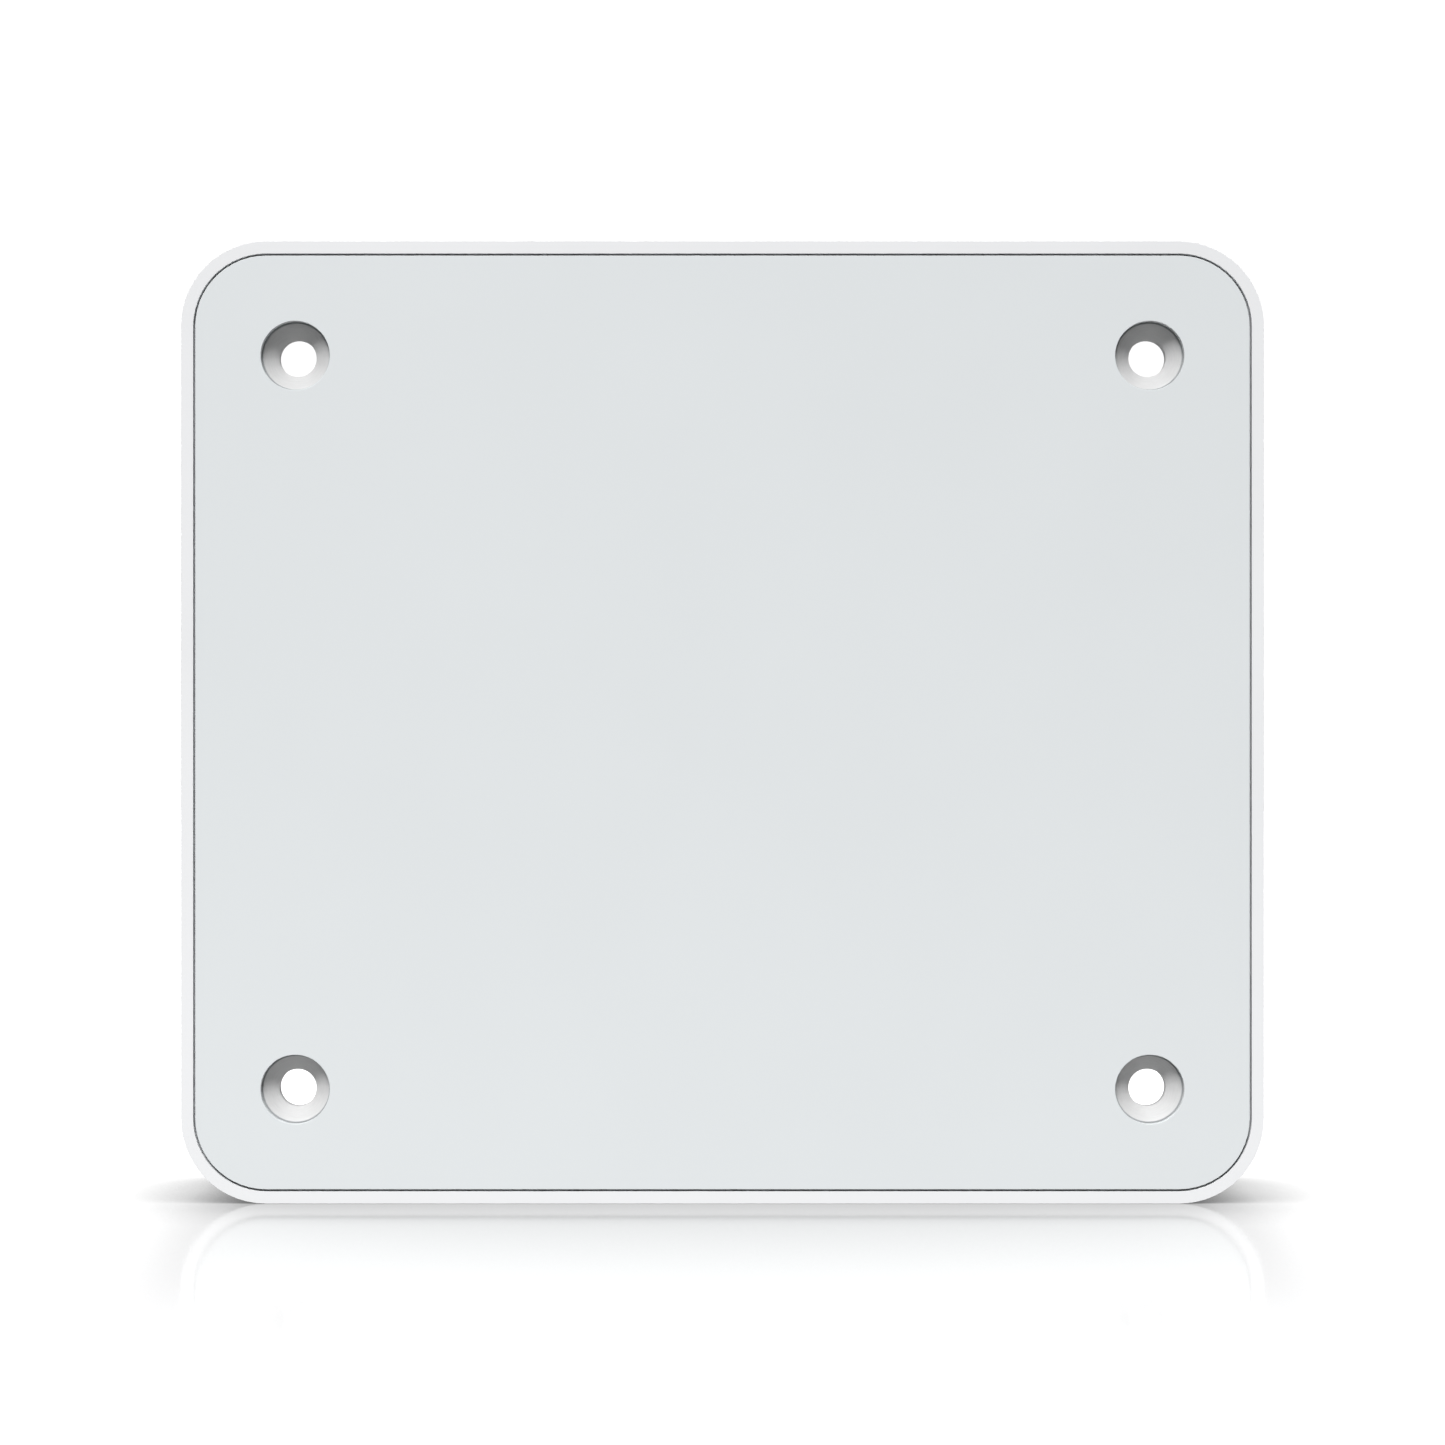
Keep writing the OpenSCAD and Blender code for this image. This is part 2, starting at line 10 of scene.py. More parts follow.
import bmesh
import bpy
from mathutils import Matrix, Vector


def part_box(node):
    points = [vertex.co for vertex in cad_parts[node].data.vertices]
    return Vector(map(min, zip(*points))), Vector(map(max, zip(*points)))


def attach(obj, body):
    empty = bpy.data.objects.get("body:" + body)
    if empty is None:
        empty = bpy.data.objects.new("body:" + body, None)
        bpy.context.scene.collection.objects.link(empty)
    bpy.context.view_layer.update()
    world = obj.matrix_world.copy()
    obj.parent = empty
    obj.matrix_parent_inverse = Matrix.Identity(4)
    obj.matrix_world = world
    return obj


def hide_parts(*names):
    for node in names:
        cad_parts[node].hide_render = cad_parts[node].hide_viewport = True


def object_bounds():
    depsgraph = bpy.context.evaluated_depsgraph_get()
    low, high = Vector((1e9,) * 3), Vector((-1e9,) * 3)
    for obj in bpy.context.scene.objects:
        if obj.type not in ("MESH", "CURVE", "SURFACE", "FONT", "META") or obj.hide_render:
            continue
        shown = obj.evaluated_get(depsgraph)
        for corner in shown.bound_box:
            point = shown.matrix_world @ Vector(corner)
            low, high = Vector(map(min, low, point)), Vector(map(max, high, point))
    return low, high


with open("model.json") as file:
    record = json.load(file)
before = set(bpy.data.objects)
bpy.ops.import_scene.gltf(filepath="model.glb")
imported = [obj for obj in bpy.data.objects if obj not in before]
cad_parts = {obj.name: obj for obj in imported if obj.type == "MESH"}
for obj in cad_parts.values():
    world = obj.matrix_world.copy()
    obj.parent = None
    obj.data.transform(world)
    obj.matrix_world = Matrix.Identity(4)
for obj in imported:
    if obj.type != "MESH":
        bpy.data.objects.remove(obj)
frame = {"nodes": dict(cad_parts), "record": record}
CAD_BOX = [list(corner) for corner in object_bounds()]
NODES = frame["nodes"]
MM = 0.001
LOW, HIGH = (Vector(corner) for corner in CAD_BOX)
CENTRE = (LOW + HIGH) / 2
FRONT_Y = LOW.y

CASE = "case"


# ---------------------------------------------------------------- node helpers

class Graph:
    """A small helper that adds shader nodes and joins them."""

    def __init__(self, tree):
        self.tree = tree

    def add(self, kind, **values):
        node = self.tree.nodes.new(kind)
        for key, value in values.items():
            if hasattr(node, key):
                setattr(node, key, value)
            else:
                node.inputs[key.replace("_", " ")].default_value = value
        return node

    def link(self, out, socket):
        self.tree.links.new(out, socket)
        return out

    def coords(self, scale=(1, 1, 1)):
        """Object coordinates, which are the row frame's metres, scaled to a pattern's size."""
        source = self.add("ShaderNodeTexCoord")
        mapping = self.add("ShaderNodeMapping")
        mapping.inputs["Scale"].default_value = scale
        self.link(source.outputs["Object"], mapping.inputs["Vector"])
        return mapping.outputs["Vector"]

    def noise(self, vector, size, detail=3.0, roughness=0.5):
        """Noise whose blobs are about size metres wide."""
        node = self.add("ShaderNodeTexNoise", Detail=detail, Roughness=roughness)
        node.inputs["Scale"].default_value = 1 / size
        self.link(vector, node.inputs["Vector"])
        return node.outputs["Fac"]

    def ramp(self, fac, stops):
        node = self.add("ShaderNodeValToRGB")
        ramp = node.color_ramp
        while len(ramp.elements) < len(stops):
            ramp.elements.new(0.5)
        for element, (place, colour) in zip(ramp.elements, stops):
            element.position = place
            element.color = (*colour, 1) if len(colour) == 3 else colour
        self.link(fac, node.inputs["Fac"])
        return node.outputs["Color"]

    def span(self, fac, low, high):
        """Maps 0..1 to low..high."""
        return self.remap(fac, 0.0, 1.0, low, high, smooth=False)

    def remap(self, value, start, end, low=0.0, high=1.0, smooth=True):
        """Maps start..end to low..high, clamped and eased at both ends where smooth is true."""
        kind = "SMOOTHSTEP" if smooth else "LINEAR"
        node = self.add("ShaderNodeMapRange", interpolation_type=kind, From_Min=start, From_Max=end,
                        To_Min=low, To_Max=high)
        self.link(value, node.inputs["Value"])
        return node.outputs["Result"]

    def axes(self):
        """Object coordinates as separate X, Y and Z."""
        node = self.add("ShaderNodeSeparateXYZ")
        self.link(self.coords(), node.inputs[0])
        return node.outputs

    def blend(self, share, first, second):
        """A mix of two shaders, as a socket, that is all second where share is 1."""
        node = self.add("ShaderNodeMixShader")
        for socket, value in zip(node.inputs, (share, first, second)):
            self.link(value, socket)
        return node.outputs[0]

    def maths(self, operation, a, b=None, c=None):
        node = self.add("ShaderNodeMath", operation=operation)
        for socket, value in zip(node.inputs, (a, b, c)):
            if value is None:
                continue
            if isinstance(value, (int, float)):
                socket.default_value = value
            else:
                self.link(value, socket)
        return node.outputs[0]

    def length(self, a, b):
        """The length of a flat vector."""
        squares = (self.maths("MULTIPLY", side, side) for side in (a, b))
        return self.maths("SQRT", self.maths("ADD", *squares))

    def bump(self, height, depth, normal=None):
        """Bump from a height of 0..1 that stands depth metres high."""
        node = self.add("ShaderNodeBump")
        node.inputs["Strength"].default_value = 1.0
        node.inputs["Distance"].default_value = depth
        self.link(height, node.inputs["Height"])
        if normal is not None:
            self.link(normal, node.inputs["Normal"])
        return node.outputs["Normal"]


def tint(colour, factor):
    return tuple(min(1.0, channel * factor) for channel in colour)


def new_material(name, **shader_values):
    """A material with one Principled shader, and its graph."""
    material = bpy.data.materials.new(name)
    material.use_nodes = True
    tree = material.node_tree
    tree.nodes.clear()
    graph = Graph(tree)
    shader = graph.add("ShaderNodeBsdfPrincipled")
    output = graph.add("ShaderNodeOutputMaterial")
    graph.link(shader.outputs["BSDF"], output.inputs["Surface"])
    for key, value in shader_values.items():
        shader.inputs[key.replace("_", " ")].default_value = value
    return material, graph, shader


def painted(material):
    """A graph on an existing material, its shader and the colour that the shader now gets."""
    g = Graph(material.node_tree)
    shader = next(n for n in material.node_tree.nodes if n.bl_idname == "ShaderNodeBsdfPrincipled")
    return g, shader, shader.inputs["Base Color"].links[0].from_socket


def over(g, shader, base, mask, colour):
    """Lays a colour over the base where the mask is 1, and hands back the mixed colour."""
    mix = g.add("ShaderNodeMix", data_type="RGBA")
    g.link(mask, mix.inputs["Factor"])
    g.link(base, mix.inputs["A"])
    if isinstance(colour, tuple):
        mix.inputs["B"].default_value = (*colour, 1)
    else:
        g.link(colour, mix.inputs["B"])
    return g.link(mix.outputs["Result"], shader.inputs["Base Color"])


def moulded(name, colour, rough=0.42, grain=0.25 * MM, grain_depth=0.004 * MM, mottle=0.015, **extra):
    """Moulded plastic: fine spark-erosion grain, faint flow mottling and slightly uneven gloss."""
    material, g, shader = new_material(name, **extra)
    place = g.coords()
    cloud = g.noise(place, 22 * MM, 2)
    speck = g.noise(place, grain, 4, 0.6)
    low, high = tint(colour, 1 - mottle), tint(colour, 1 + mottle)
    g.link(g.ramp(cloud, [(0.3, low), (0.7, high)]), shader.inputs["Base Color"])
    smear = g.noise(place, 4 * MM, 3)
    g.link(g.span(smear, rough - 0.035, rough + 0.035), shader.inputs["Roughness"])
    g.link(g.bump(speck, grain_depth), shader.inputs["Normal"])
    return material


def case_plastic_with_painted_shade(name, colour, countersink_shade_colour, gap_shade_colour, **look):
    """The case's white plastic, with painted shade: grey in the countersinks and dark in the hairline
    gap round the panel, colour that stands in for the shade that falls there."""
    material = moulded(name, colour, **look)
    g, shader, plain = painted(material)
    place = g.axes()
    holes = next(m for m in frame["record"]["mounts"] if m["name"] == "mounting_holes")["dims"]
    offset = [g.maths("SUBTRACT", g.maths("ABSOLUTE", place[axis]), holes[spacing] * MM / 2)
              for axis, spacing in (("X", "spacing_x_mm"), ("Z", "spacing_y_mm"))]
    sink_r, blur = 3.95 * MM, 0.05 * MM
    # painted shade: the countersink cones are coloured grey, standing in for the shade inside them
    countersink_shade_mask = g.remap(g.length(*offset), sink_r + blur, sink_r - blur, smooth=False)
    rings = g.noise(g.coords((1, 30, 1)), 1.2 * MM, 3)
    countersink_shade = g.ramp(rings, [(0.3, tint(countersink_shade_colour, 0.95)), (0.7, tint(countersink_shade_colour, 1.05))])
    with_countersink_shade = over(g, shader, plain, countersink_shade_mask, countersink_shade)

    # painted shade: the hairline gap round the panel is coloured dark, standing in for the shade in it
    shell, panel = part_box("front_shell"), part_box("face_panel")
    corner, lip = 10.2 * MM, panel[0].x - shell[0].x - 0.22 * MM  # the gap is 0.25 mm wide
    reach = [g.maths("SUBTRACT", g.maths("ABSOLUTE", place[axis]), half - corner)
             for axis, half in (("X", shell[1].x), ("Z", shell[1].z))]
    round_off = g.length(*(g.maths("MAXIMUM", r, 0.0) for r in reach))
    flat = g.maths("MINIMUM", g.maths("MAXIMUM", *reach), 0.0)
    inset = g.maths("SUBTRACT", corner, g.maths("ADD", round_off, flat))
    shallow = g.maths("LESS_THAN", place["Y"], panel[1].y + 0.5 * MM)
    gap_shade_mask = g.maths("MULTIPLY", g.maths("GREATER_THAN", inset, lip), shallow)
    over(g, shader, with_countersink_shade, g.maths("MULTIPLY", gap_shade_mask, g.maths("SUBTRACT", 1.0, countersink_shade_mask)), gap_shade_colour)
    return material


def sheet_metal(name, colour, rough=0.3, along="x", brush_depth=0.0015 * MM, **extra):
    """Rolled or brushed metal: long fine scratches one way, with cloudy gloss."""
    material, g, shader = new_material(name, Metallic=1.0, **extra)
    stretch = {"x": (1, 60, 60), "y": (60, 1, 60), "z": (60, 60, 1)}[along]
    lines = g.noise(g.coords(stretch), 9 * MM, 5, 0.7)
    cloud = g.noise(g.coords(), 7 * MM, 3)
    g.link(g.ramp(cloud, [(0.3, tint(colour, 0.93)), (0.7, tint(colour, 1.05))]),
           shader.inputs["Base Color"])
    mixed = g.maths("ADD", g.maths("MULTIPLY", lines, 0.6), g.maths("MULTIPLY", cloud, 0.4))
    g.link(g.span(mixed, rough - 0.1, rough + 0.12), shader.inputs["Roughness"])
    g.link(g.bump(lines, brush_depth), shader.inputs["Normal"])
    return material


def blasted_metal(name, colour, rough=0.48, grain=0.18 * MM, grain_depth=0.01 * MM):
    """Bead-blasted metal: sparkling fine pits and soft stains."""
    material, g, shader = new_material(name, Metallic=1.0)
    place = g.coords()
    pits = g.noise(place, grain, 3, 0.65)
    stain = g.noise(place, 18 * MM, 4, 0.6)
    g.link(g.ramp(stain, [(0.25, tint(colour, 0.92)), (0.75, tint(colour, 1.04))]),
           shader.inputs["Base Color"])
    g.link(g.span(stain, rough - 0.06, rough + 0.08), shader.inputs["Roughness"])
    g.link(g.bump(pits, grain_depth), shader.inputs["Normal"])
    return material


# ---------------------------------------------------------------- stage

def make_camera():
    """Square on to the face, slightly below its middle, as for a catalogue picture."""
    distance = 0.420
    share = 0.7495  # of the picture's width that the case fills
    frame_width = (HIGH.x - LOW.x) / share
    drop = 7.3 * MM
    data = bpy.data.cameras.new("camera")
    data.sensor_width = 36
    data.lens = data.sensor_width * distance / frame_width
    data.shift_y = drop / frame_width
    data.clip_start, data.clip_end = 0.01, 50
    camera = bpy.data.objects.new("camera", data)
    bpy.context.scene.collection.objects.link(camera)
    camera.location = (CENTRE.x, FRONT_Y - distance, CENTRE.z - drop)
    camera.rotation_euler = (math.radians(90), 0, 0)
    bpy.context.scene.camera = camera


def area_light(name, place, target, size, power):
    data = bpy.data.lights.new(name, "AREA")
    data.shape = "RECTANGLE"
    data.size, data.size_y = size
    data.energy = power
    light = bpy.data.objects.new(name, data)
    bpy.context.scene.collection.objects.link(light)
    light.location = place
    light.rotation_euler = (Vector(target) - Vector(place)).to_track_quat("-Z", "Y").to_euler()


def make_lights():
    """A feathered soft box high in front, aimed ahead of the case so that its light falls off upwards,
    and two weaker ones low behind it."""
    area_light("key_box", place=(-0.30, -1.50, 1.45), target=(-0.26, -1.93, 0.55), size=(1.0, 0.7),
               power=148.0)
    for name, x in (("left_box", -0.9), ("right_box", 0.9)):
        area_light(name, place=(x, 0.60, 0.14), target=(0, 0.02, 0), size=(0.60, 0.30), power=6.5)
    view = bpy.context.scene.view_settings
    view.view_transform = "Standard"
    view.look = "None"


def make_room():
    """A white room: burnt out where it is seen, dim as fill light, and graded from floor to ceiling
    where metal and gloss mirror it."""
    world = bpy.data.worlds.new("world")
    world.use_nodes = True
    bpy.context.scene.world = world
    world.node_tree.nodes.clear()
    g = Graph(world.node_tree)
    seen, fill, mirrored = (g.add("ShaderNodeBackground", Strength=power) for power in (1.05, 0.12, 1.0))
    for backdrop in (seen, fill):
        backdrop.inputs["Color"].default_value = (1, 1, 1, 1)
    source = g.add("ShaderNodeTexCoord")
    parts = g.add("ShaderNodeSeparateXYZ")
    g.link(source.outputs["Generated"], parts.inputs[0])
    height = g.maths("MULTIPLY_ADD", parts.outputs["Z"], 0.5, 0.5)
    grades = [(0.45, (0.22, 0.22, 0.23)), (0.52, (0.42, 0.42, 0.43)), (0.75, (0.74, 0.74, 0.75)),
              (1.0, (0.86, 0.86, 0.87))]
    g.link(g.ramp(height, grades), mirrored.inputs["Color"])
    path = g.add("ShaderNodeLightPath")
    indirect = g.blend(path.outputs["Is Diffuse Ray"], mirrored.outputs[0], fill.outputs[0])
    out = g.add("ShaderNodeOutputWorld")
    g.link(g.blend(path.outputs["Is Camera Ray"], indirect, seen.outputs[0]), out.inputs["Surface"])


def floor_material():
    """Polished white acrylic that glows instead of taking the lamps' light, burnt out but for painted shade
    from ambient occlusion: a dark line and soft shade ahead of the case and a fainter shade beside it.
    To other surfaces it is dim, but for a pale bounce close to the case, and it is clear from below so
    that the case's underside shows."""
    material = bpy.data.materials.new("floor_gloss")
    material.use_nodes = True
    material.node_tree.nodes.clear()
    g = Graph(material.node_tree)
    place = g.axes()
    face, side, past = FRONT_Y - CENTRE.y, HIGH.x, 16 * MM
    ahead = g.remap(place["Y"], face + past, face - 8 * MM)
    between_sides = g.remap(g.maths("ABSOLUTE", place["X"]), side + past, side - 12 * MM)
    in_front = g.maths("MULTIPLY", ahead, between_sides)
    # painted shade: ambient occlusion dims the floor's glow next to the case, standing in for its shadow
    shades = []
    for reach, depth, elsewhere in ((22 * MM, 0.74, 1.25), (110 * MM, 0.86, 0.35)):
        open_sky = g.add("ShaderNodeAmbientOcclusion", samples=8, Distance=reach)
        lost = g.maths("MULTIPLY", g.span(open_sky.outputs["AO"], depth, 0.0),
                       g.span(in_front, elsewhere, 1.0))
        shades.append(g.maths("SUBTRACT", 1.0, lost))
    cloud = g.noise(g.coords(), 400 * MM, 2)
    shaded_glow = g.add("ShaderNodeEmission")
    shade = g.maths("MULTIPLY", *shades)
    g.link(g.maths("MULTIPLY", shade, g.span(cloud, 1.49, 1.52)), shaded_glow.inputs["Strength"])
    polish = g.add("ShaderNodeBsdfGlossy", Roughness=0.10)
    fresnel = g.add("ShaderNodeFresnel", IOR=1.49)
    away = g.add("ShaderNodeVectorMath", operation="LENGTH")
    g.link(g.coords(), away.inputs[0])
    near, far = 0.09, 0.30  # from the case's middle, where gloss and bounce begin and end their fade
    close = g.remap(away.outputs["Value"], near, far, 1.0, 0.0)
    gloss = g.maths("MULTIPLY", g.maths("MULTIPLY", fresnel.outputs[0], close), in_front)
    dim = g.add("ShaderNodeEmission", Strength=0.35)
    bounce = g.add("ShaderNodeEmission")
    g.link(g.span(close, 0.03, 0.33), bounce.inputs["Strength"])
    clear = g.add("ShaderNodeBsdfTransparent")
    path = g.add("ShaderNodeLightPath")
    geometry = g.add("ShaderNodeNewGeometry")
    look = g.blend(gloss, shaded_glow.outputs[0], polish.outputs[0])
    look = g.blend(path.outputs["Is Camera Ray"], dim.outputs[0], look)
    look = g.blend(path.outputs["Is Diffuse Ray"], look, bounce.outputs[0])
    look = g.blend(geometry.outputs["Backfacing"], look, clear.outputs[0])
    out = g.add("ShaderNodeOutputMaterial")
    g.link(look, out.inputs["Surface"])
    return material


def make_floor():
    """A large glossy white table top, a hair below the case so that the two don't coincide."""
    mesh = bpy.data.meshes.new("floor")
    floor = bpy.data.objects.new("floor", mesh)
    bpy.context.scene.collection.objects.link(floor)
    half, gap = 6.0, 0.02 * MM
    corners = [(-half, -half, 0), (half, -half, 0), (half, half, 0), (-half, half, 0)]
    mesh.from_pydata(corners, [], [(0, 1, 2, 3)])
    mesh.materials.append(floor_material())
    floor.location = (0, CENTRE.y, LOW.z - gap)


# ---------------------------------------------------------------- particular finishes

def clear_acrylic(name):
    """Clear moulded acrylic with faint ripples."""
    material, g, shader = new_material(name, IOR=1.49, Transmission_Weight=1.0)
    ripple = g.noise(g.coords(), 1.5 * MM, 2)
    g.link(g.ramp(ripple, [(0.2, (0.90, 0.95, 0.96)), (0.8, (0.97, 0.99, 1.0))]),
           shader.inputs["Base Color"])
    g.link(g.span(ripple, 0.03, 0.10), shader.inputs["Roughness"])
    g.link(g.bump(ripple, 0.01 * MM), shader.inputs["Normal"])
    return material


def board_laminate(name):
    """Green solder mask over bundles of copper traces, with small tinned vias."""
    material, g, shader = new_material(name, Roughness=0.32, Coat_Weight=0.25)
    cells = g.add("ShaderNodeTexVoronoi", distance="CHEBYCHEV", Scale=1 / (8 * MM))
    g.link(g.coords((1, 0.001, 1)), cells.inputs["Vector"])
    pick = g.add("ShaderNodeSeparateColor")
    g.link(cells.outputs["Color"], pick.inputs[0])
    place = g.axes()
    pitch = 0.45 * MM
    lines = [g.maths("LESS_THAN", g.maths("FRACT", g.maths("DIVIDE", place[axis], pitch)), 0.42)
             for axis in ("X", "Z")]
    turn = g.maths("GREATER_THAN", pick.outputs["Red"], 0.5)
    chosen = g.maths("ADD", g.maths("MULTIPLY", lines[0], turn),
                     g.maths("MULTIPLY", lines[1], g.maths("SUBTRACT", 1.0, turn)))
    traces = g.maths("MULTIPLY", chosen, g.maths("GREATER_THAN", pick.outputs["Green"], 0.35))
    dots = g.add("ShaderNodeTexVoronoi", Scale=1 / (3.1 * MM), Randomness=0.7)
    g.link(g.coords((1, 0.001, 1)), dots.inputs["Vector"])
    vias = g.maths("LESS_THAN", dots.outputs["Distance"], 0.09)
    cloud = g.noise(g.coords(), 15 * MM, 3)
    mask = g.ramp(cloud, [(0.3, (0.010, 0.085, 0.040)), (0.7, (0.014, 0.105, 0.050))])
    copper = over(g, shader, mask, traces, (0.024, 0.165, 0.075))
    g.tree.links.remove(shader.inputs["Base Color"].links[0])
    over(g, shader, copper, vias, (0.62, 0.60, 0.56))
    g.link(vias, shader.inputs["Metallic"])
    height = g.maths("ADD", traces, g.maths("MULTIPLY", g.noise(g.coords(), 0.3 * MM, 3), 0.3))
    g.link(g.bump(height, 0.02 * MM), shader.inputs["Normal"])
    return material


def bordered_label(name, node):
    """A blank paper-white label with a thin printed border and a ruled empty field."""
    material = moulded(name, (0.80, 0.80, 0.79), rough=0.46, grain=0.4 * MM, grain_depth=0.003 * MM)
    g, shader, base = painted(material)
    low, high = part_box(node)
    middle, half = (low + high) / 2, (high - low) / 2
    place = g.axes()
    margin = 1.4 * MM
    across, up = (g.maths("SUBTRACT", room, g.maths("ABSOLUTE", g.maths("SUBTRACT", place[axis], centre)))
                  for axis, room, centre in (("X", half.x, middle.x), ("Z", half.z, middle.z)))
    edge = g.maths("MINIMUM", across, up)
    line = g.maths("COMPARE", edge, margin, 0.12 * MM)
    rule = g.maths("COMPARE", place["Z"], middle.z + 6 * MM, 0.10 * MM)
    inside = g.maths("GREATER_THAN", edge, margin)
    ink = g.maths("MAXIMUM", line, g.maths("MULTIPLY", rule, inside))
    over(g, shader, base, ink, (0.30, 0.31, 0.33))
    return material


def woven_tape(name, colour):
    """Polyester winding tape with fine crosswise threads."""
    material = moulded(name, colour, rough=0.3)
    g, shader, base = painted(material)
    threads = g.noise(g.coords((1, 1, 12)), 0.9 * MM, 2)
    over(g, shader, base, g.span(threads, 0.0, 0.35), tint(colour, 0.6))
    return material


def make_materials():
    """Every finish, by the name of the record's material slot where there is one."""
    finish = {
        # the case's white, then painted shade colours for the countersinks and for the hairline gap
        "white_case": case_plastic_with_painted_shade("white_case", (0.865, 0.872, 0.884), (0.63, 0.63, 0.63),
                                   (0.36, 0.37, 0.38), rough=0.38),
        "face_panel": moulded("face_panel_satin", (0.750, 0.780, 0.792), rough=0.5, grain=0.16 * MM,
                              grain_depth=0.002 * MM, mottle=0.006),
        "adhesive_film": moulded("adhesive_film", (0.72, 0.68, 0.50), rough=0.25, grain=0.5 * MM,
                                 grain_depth=0.006 * MM, mottle=0.05, Transmission_Weight=0.3),
        "sleeve_plastic": moulded("sleeve_plastic", (0.80, 0.80, 0.81), rough=0.5),
        "cover_plate": blasted_metal("cover_plate", (0.62, 0.63, 0.64)),
        "zinc_screw": sheet_metal("zinc_screw", (0.70, 0.71, 0.74), rough=0.28, along="y"),
        "blank_label": bordered_label("blank_label", "rating_label"),
        "bay_plastic": moulded("bay_plastic", (0.030, 0.031, 0.033), rough=0.52, grain=0.3 * MM,
                               grain_depth=0.012 * MM, mottle=0.12),
        "tinned_sheet": sheet_metal("tinned_sheet", (0.72, 0.72, 0.73), rough=0.25, along="z"),
        "jack_plastic": moulded("jack_plastic", (0.022, 0.022, 0.024), rough=0.38, mottle=0.1),
        "gold_wire": sheet_metal("gold_wire", (0.88, 0.64, 0.27), rough=0.2, along="z"),
        "switch_plastic": moulded("switch_plastic", (0.05, 0.05, 0.055), rough=0.45, mottle=0.08),
        "key_plastic": moulded("key_plastic", (0.16, 0.165, 0.175), rough=0.36, mottle=0.05),
        "led_resin": moulded("led_resin", (0.82, 0.80, 0.55), rough=0.2, Transmission_Weight=0.5),
        "clear_acrylic": clear_acrylic("clear_acrylic"),
        "board_laminate": board_laminate("board_laminate"),
        "turned_steel": sheet_metal("turned_steel", (0.60, 0.60, 0.62), rough=0.3, along="x"),
        "brass_standoff": sheet_metal("brass_standoff", (0.80, 0.61, 0.30), rough=0.26, along="x"),
        "moulded_magnetics": moulded("moulded_magnetics", (0.028, 0.028, 0.030), rough=0.5, mottle=0.15),
        "ferrite_core": moulded("ferrite_core", (0.085, 0.085, 0.09), rough=0.62, grain=0.12 * MM,
                                grain_depth=0.02 * MM, mottle=0.2),
        "plate_sheet": sheet_metal("plate_sheet", (0.70, 0.70, 0.69), rough=0.34, along="x"),
        "shield_can": sheet_metal("shield_can", (0.74, 0.73, 0.71), rough=0.3, along="x"),
        "chip_resin": moulded("chip_resin", (0.024, 0.024, 0.026), rough=0.56, grain=0.09 * MM,
                              grain_depth=0.006 * MM, mottle=0.2),
        "block_metal": blasted_metal("block_metal", (0.70, 0.71, 0.72), rough=0.36),
        "thermal_gel": moulded("thermal_gel", (0.30, 0.42, 0.60), rough=0.6, grain=0.35 * MM,
                               grain_depth=0.03 * MM, mottle=0.1),
        "capacitor_sleeve": moulded("capacitor_sleeve", (0.020, 0.028, 0.075), rough=0.24, mottle=0.15),
        "inductor_resin": moulded("inductor_resin", (0.10, 0.10, 0.105), rough=0.6, grain=0.15 * MM,
                                  grain_depth=0.02 * MM, mottle=0.2),
        "gold_socket": sheet_metal("gold_socket", (0.90, 0.68, 0.32), rough=0.22, along="y"),
        "lead_jacket": moulded("lead_jacket", (0.24, 0.25, 0.27), rough=0.33, grain=0.5 * MM, mottle=0.08),
        "antenna_sheet": sheet_metal("antenna_sheet", (0.82, 0.64, 0.34), rough=0.27, along="x"),
    }
    finish["substrate"] = moulded("chip_substrate", (0.018, 0.060, 0.035), rough=0.4, mottle=0.2)
    finish["solder"] = blasted_metal("solder", (0.66, 0.66, 0.68), rough=0.24, grain=0.1 * MM)
    finish["ceramic"] = moulded("ceramic", (0.42, 0.31, 0.20), rough=0.5, mottle=0.25)
    finish["resistor"] = moulded("resistor", (0.03, 0.03, 0.03), rough=0.35, mottle=0.3)
    finish["tape"] = woven_tape("winding_tape", (0.72, 0.52, 0.07))
    finish["bobbin"] = moulded("bobbin", (0.06, 0.055, 0.05), rough=0.5, mottle=0.1)
    finish["can_metal"] = sheet_metal("can_metal", (0.80, 0.80, 0.81), rough=0.22, along="y")
    finish["rubber"] = moulded("bung_rubber", (0.02, 0.02, 0.02), rough=0.7, mottle=0.1)
    return finish


# ---------------------------------------------------------------- CAD nodes

def dress(node, finish, edge=0.0, segments=3):
    """Gives a CAD node its finish and, where edge is over 0, soft edges of that radius in metres."""
    o = NODES[node]
    o.data.materials.clear()
    o.data.materials.append(FINISH[finish])
    if edge > 0:
        soften(o, edge, segments)
    return o


def soften(o, edge, segments=3):
    """Rounds every edge sharper than 35 degrees, with even shading across the flats."""
    weld = o.modifiers.new("weld", "WELD")
    weld.merge_threshold = 1e-6
    bevel = o.modifiers.new("soft_edges", "BEVEL")
    bevel.width = edge
    bevel.segments = segments
    bevel.limit_method = "ANGLE"
    bevel.angle_limit = math.radians(35)
    bevel.miter_outer = "MITER_ARC"
    shade = o.modifiers.new("shade", "WEIGHTED_NORMAL")
    shade.keep_sharp = False


